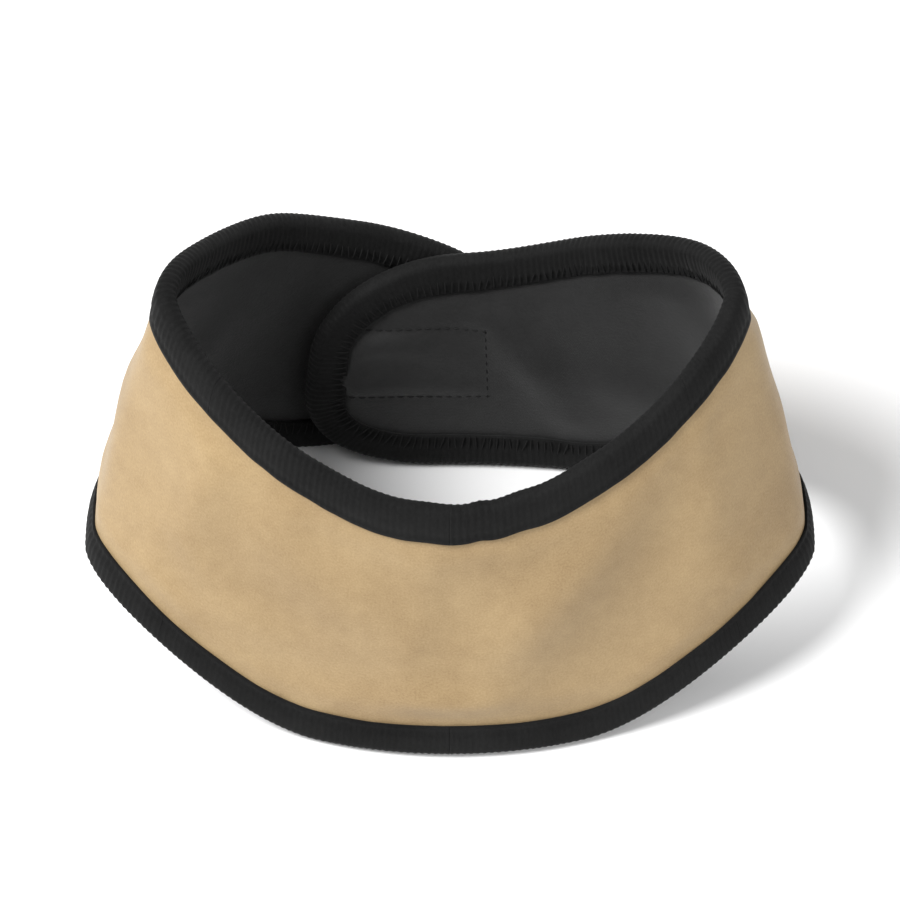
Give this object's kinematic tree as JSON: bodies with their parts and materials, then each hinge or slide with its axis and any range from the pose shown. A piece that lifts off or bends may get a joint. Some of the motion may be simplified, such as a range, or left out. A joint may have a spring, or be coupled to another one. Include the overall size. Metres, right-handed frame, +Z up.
{
  "type": "soft cervical collar",
  "caption": "Soft foam neck collar: a curved padded band with taped edges that wraps round the neck and fastens at the back.",
  "frame": {"origin": "middle of the bounding box at its bottom, on the surface the collar stands on", "axes": "+Z up, +X from one side of the neck to the other, -Y out of the wearer's throat, so the fastening is at +Y"},
  "size_m": [0.1864, 0.1207, 0.1055],
  "materials": {
    "outer_cover": "smooth soft knit, slight satin sheen",
    "foam_core": "open soft foam sheet",
    "lining": "matte knit",
    "binding": "matte ribbed tape",
    "hook_patch": "rough hook tape",
    "loop_patch": "napped loop tape"
  },
  "bodies": {
    "front": {"front_outer_cover": "outer_cover", "front_foam_core": "foam_core", "front_lining": "lining", "front_top_binding": "binding", "front_bottom_binding": "binding"},
    "left_jaw": {"left_jaw_outer_cover": "outer_cover", "left_jaw_foam_core": "foam_core", "left_jaw_lining": "lining", "left_jaw_top_binding": "binding", "left_jaw_bottom_binding": "binding"},
    "left_neck": {"left_neck_outer_cover": "outer_cover", "left_neck_foam_core": "foam_core", "left_neck_lining": "lining", "left_neck_top_binding": "binding", "left_neck_bottom_binding": "binding"},
    "left_end": {"left_end_outer_cover": "outer_cover", "left_end_foam_core": "foam_core", "left_end_lining": "lining", "left_end_top_binding": "binding", "left_end_bottom_binding": "binding"},
    "left_tab": {"left_tab_outer_cover": "outer_cover", "left_tab_foam_core": "foam_core", "left_tab_lining": "lining", "left_tab_binding": "binding", "left_loop_patch": "loop_patch"},
    "right_jaw": {"right_jaw_outer_cover": "outer_cover", "right_jaw_foam_core": "foam_core", "right_jaw_lining": "lining", "right_jaw_top_binding": "binding", "right_jaw_bottom_binding": "binding"},
    "right_neck": {"right_neck_outer_cover": "outer_cover", "right_neck_foam_core": "foam_core", "right_neck_lining": "lining", "right_neck_top_binding": "binding", "right_neck_bottom_binding": "binding"},
    "right_end": {"right_end_outer_cover": "outer_cover", "right_end_foam_core": "foam_core", "right_end_lining": "lining", "right_end_binding": "binding", "right_hook_patch": "hook_patch"}
  },
  "joints": [
    {"name": "left_side_fold", "type": "hinge", "parent": "left_jaw", "child": "left_neck", "pos_m": [-0.08219, 0.00361, 0.06526], "axis": [0.2587, 0.2999, 0.9182], "range_deg": [0, 104]},
    {"name": "left_jaw_fold", "type": "hinge", "parent": "front", "child": "left_jaw", "pos_m": [-0.04174, -0.03716, 0.04473], "axis": [0.1233, 0.357, 0.926], "range_deg": [0, 36.4]},
    {"name": "left_neck_fold", "type": "hinge", "parent": "left_neck", "child": "left_end", "pos_m": [-0.05508, 0.03955, 0.04771], "axis": [0.1831, 0.2758, 0.9436], "range_deg": [0, 41.6]},
    {"name": "right_side_fold", "type": "hinge", "parent": "right_jaw", "child": "right_neck", "pos_m": [0.08219, 0.00361, 0.06526], "axis": [0.2587, -0.2999, -0.9182], "range_deg": [0, 72.8]},
    {"name": "right_jaw_fold", "type": "hinge", "parent": "front", "child": "right_jaw", "pos_m": [0.04174, -0.03716, 0.04473], "axis": [0.1233, -0.357, -0.926], "range_deg": [0, 52]},
    {"name": "right_neck_fold", "type": "hinge", "parent": "right_neck", "child": "right_end", "pos_m": [0.05222, 0.03429, 0.04771], "axis": [0.1831, -0.2758, -0.9436], "range_deg": [0, 10.4]},
    {"name": "closure_peel", "type": "hinge", "parent": "left_end", "child": "left_tab", "pos_m": [-0.02919, 0.04784, 0.03671], "axis": [0.0871, 0.325, 0.9417], "range_deg": [0, 70]}
  ],
  "couplings": [
    {"joint": "left_jaw_fold", "follows": "left_side_fold", "ratio": 0.35},
    {"joint": "left_neck_fold", "follows": "left_side_fold", "ratio": 0.4},
    {"joint": "right_side_fold", "follows": "left_side_fold", "ratio": 0.7},
    {"joint": "right_jaw_fold", "follows": "left_side_fold", "ratio": 0.5},
    {"joint": "right_neck_fold", "follows": "left_side_fold", "ratio": 0.1}
  ]
}
